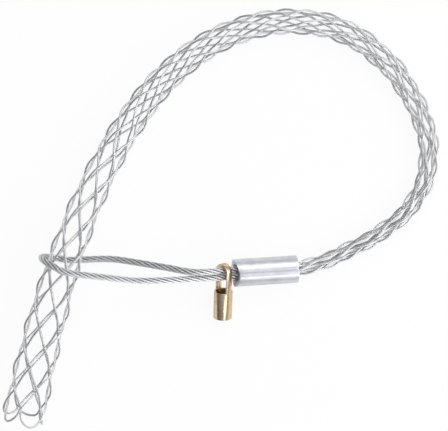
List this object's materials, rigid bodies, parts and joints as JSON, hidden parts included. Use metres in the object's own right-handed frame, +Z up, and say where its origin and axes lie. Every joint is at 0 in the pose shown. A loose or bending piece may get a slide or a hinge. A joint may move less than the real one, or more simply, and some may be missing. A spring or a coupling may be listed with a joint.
{
  "type": "cable pulling grip",
  "caption": "Cable pulling grip lying in a loop: woven wire sock with a looped mouth, pressed sleeve, wire rope eye looped round the sock, and a brass threaded end hanging on the eye.",
  "frame": {"origin": "middle of the grip's bounding box, on the surface it lies on", "axes": "+X from the rope eye towards the far side of the sock's bend, +Y away from the mouth, +Z up from the surface it lies on"},
  "size_m": [0.2186, 0.2094, 0.0261],
  "materials": {
    "sock_steel": "galvanised stranded wire, dull bright grey",
    "rope_steel": "galvanised wire rope, slightly darker than the sock",
    "sleeve_aluminium": "pressed bare aluminium, satin",
    "end_brass": "turned and milled brass, satin"
  },
  "bodies": {
    "grip": {"mesh_strand_1": "sock_steel", "mesh_strand_2": "sock_steel", "mesh_strand_3": "sock_steel", "mesh_strand_4": "sock_steel", "mesh_strand_5": "sock_steel", "rope_core": "rope_steel", "rope_strand_1": "rope_steel", "rope_strand_2": "rope_steel", "rope_strand_3": "rope_steel", "rope_strand_4": "rope_steel", "rope_strand_5": "rope_steel", "rope_strand_6": "rope_steel", "pressed_sleeve": "sleeve_aluminium"},
    "end": {"threaded_end": "end_brass"}
  },
  "joints": [
    {"name": "end_slide", "type": "slide", "parent": "grip", "child": "end", "axis": [-0.983, -0.0594, 0.1736], "range_m": [-0.0006, 0.008]}
  ]
}
